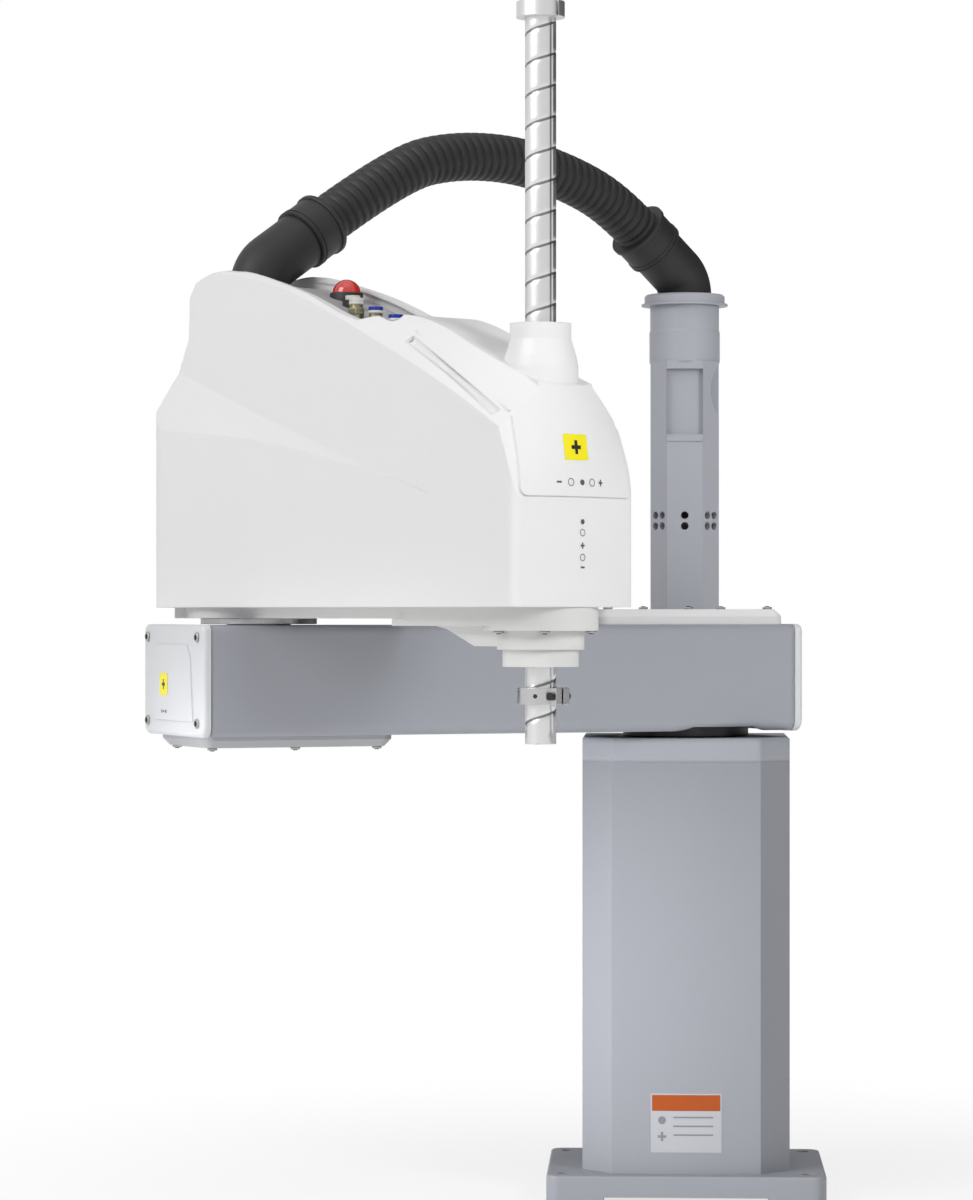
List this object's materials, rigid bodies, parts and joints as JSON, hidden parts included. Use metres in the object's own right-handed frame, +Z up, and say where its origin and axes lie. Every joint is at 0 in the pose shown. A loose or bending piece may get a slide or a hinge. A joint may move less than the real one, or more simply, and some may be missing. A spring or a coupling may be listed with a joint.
{
  "type": "scara robot",
  "caption": "Bench-mounted SCARA robot with two swinging arms, a sliding and turning hollow shaft, and a hose to a rear duct pillar.",
  "frame": {"origin": "centre of the bolt pattern at the underside of the foot plate, on the first axis", "axes": "+Z up along the first axis, -Y towards the front of the column, +X to its right seen from the front"},
  "size_m": [0.4755, 0.5372, 0.806],
  "materials": {
    "grey_paint": "satin grey enamel",
    "arm_aluminium": "fine satin extrusion",
    "white_plastic": "fine matt white",
    "casting_paint": "off-white painted casting",
    "cap_plastic": "matt white",
    "deck_grey": "matt light grey",
    "black_plastic": "matt black",
    "hose_black": "corrugated, semi-matt",
    "shaft_steel": "ground and polished",
    "machine_steel": "machined",
    "dark_steel": "blackened",
    "zinc_screw": "zinc plated",
    "motor_black": "black servo motor case",
    "nut_alloy": "machined",
    "belt_rubber": "toothed belt",
    "lamp_red": "clear red lens",
    "fitting_brass": "nickel-brass",
    "blue_plastic": "blue release collar",
    "fitting_white": "white release collar"
  },
  "bodies": {
    "base": {"base_casting": "grey_paint", "column_flange": "arm_aluminium", "j1_reducer_case": "machine_steel", "j1_motor": "motor_black", "rear_panel": "black_plastic", "rear_connectors": "dark_steel", "rear_air_fittings": "fitting_brass", "earth_screw": "fitting_brass", "duct_box": "grey_paint", "duct_pillar": "arm_aluminium", "pillar_cap": "arm_aluminium", "column_screws": "zinc_screw", "hose": "hose_black"},
    "inner_arm": {"j1_output_flange": "machine_steel", "arm_tube": "arm_aluminium", "outer_end_cap": "cap_plastic", "inner_end_cap": "cap_plastic", "end_cap_screws": "zinc_screw", "top_cover": "cap_plastic", "bottom_cover": "arm_aluminium", "cover_screws": "zinc_screw", "j2_reducer_case": "machine_steel"},
    "outer_arm": {"j2_output_flange": "machine_steel", "arm_casting": "casting_paint", "j2_motor": "motor_black", "housing_cover": "white_plastic", "deck_panel": "deck_grey", "status_lamp": "lamp_red", "button_guard": "fitting_white", "fitting_bodies": "fitting_brass", "blue_collars": "blue_plastic", "white_collars": "fitting_white", "hose_seat": "black_plastic", "motor_bracket": "nut_alloy", "lift_motor": "motor_black", "turn_motor": "motor_black", "lift_belt": "belt_rubber", "turn_belt": "belt_rubber", "lower_bearing": "machine_steel", "upper_bearing": "machine_steel", "seal_ring": "black_plastic", "casting_screws": "zinc_screw"},
    "brake_button": {"brake_button": "black_plastic"},
    "spline_nut": {"spline_nut": "machine_steel", "spline_nut_pulley": "nut_alloy"},
    "shaft": {"shaft": "shaft_steel", "top_collar": "dark_steel", "clamp_collar": "machine_steel", "clamp_screws": "dark_steel"},
    "ball_nut": {"ball_nut": "machine_steel", "ball_nut_pulley": "nut_alloy"},
    "lift_drive": {"lift_motor_pulley": "nut_alloy"},
    "turn_drive": {"turn_motor_pulley": "nut_alloy"},
    "arm_elbow": {"arm_elbow": "black_plastic", "arm_hose_collar": "black_plastic"},
    "pillar_elbow": {"pillar_elbow": "black_plastic", "pillar_hose_collar": "black_plastic"}
  },
  "joints": [
    {"name": "j1", "type": "hinge", "parent": "base", "child": "inner_arm", "pos_m": [0, 0, 0.327], "axis": [0, 0, 1], "range_deg": [-65, 195], "deforming": ["hose"]},
    {"name": "j2", "type": "hinge", "parent": "inner_arm", "child": "outer_arm", "pos_m": [-0.29455, -0.13735, 0.407], "axis": [0, 0, 1], "range_deg": [-249.6, 26.4]},
    {"name": "turn", "type": "hinge", "parent": "outer_arm", "child": "spline_nut", "pos_m": [-0.09474, -0.3263, 0.43], "axis": [0, 0, 1], "range_deg": [-360, 360]},
    {"name": "lift", "type": "slide", "parent": "spline_nut", "child": "shaft", "axis": [0, 0, 1], "range_m": [-0.192, 0.008]},
    {"name": "ball_nut_turn", "type": "hinge", "parent": "outer_arm", "child": "ball_nut", "pos_m": [-0.09474, -0.3263, 0.49], "axis": [0, 0, 1], "continuous": true},
    {"name": "lift_motor_turn", "type": "hinge", "parent": "outer_arm", "child": "lift_drive", "pos_m": [-0.20009, -0.22667, 0.468], "axis": [0, 0, 1], "continuous": true},
    {"name": "turn_motor_turn", "type": "hinge", "parent": "outer_arm", "child": "turn_drive", "pos_m": [-0.1456, -0.2782, 0.452], "axis": [0, 0, 1], "continuous": true},
    {"name": "arm_elbow_turn", "type": "hinge", "parent": "outer_arm", "child": "arm_elbow", "pos_m": [-0.29455, -0.13735, 0.64], "axis": [0, 0, 1], "range_deg": [-30, 252]},
    {"name": "pillar_elbow_turn", "type": "hinge", "parent": "base", "child": "pillar_elbow", "pos_m": [0, 0.12, 0.65], "axis": [0, 0, 1], "range_deg": [-60, 170]},
    {"name": "brake_button_press", "type": "slide", "parent": "outer_arm", "child": "brake_button", "axis": [0, 0, 1], "range_m": [-0.002, 0], "stiffness_N_per_m": 800, "springref_m": 0.0015}
  ],
  "couplings": [
    {"joint": "ball_nut_turn", "follows": "lift", "rad_per_m": -314.16},
    {"joint": "lift_motor_turn", "follows": "lift", "rad_per_m": -471.24},
    {"joint": "turn_motor_turn", "follows": "turn", "ratio": 2},
    {"joint": "arm_elbow_turn", "follows": "j2", "ratio": -1},
    {"joint": "pillar_elbow_turn", "follows": "j1", "ratio": 0.84}
  ]
}
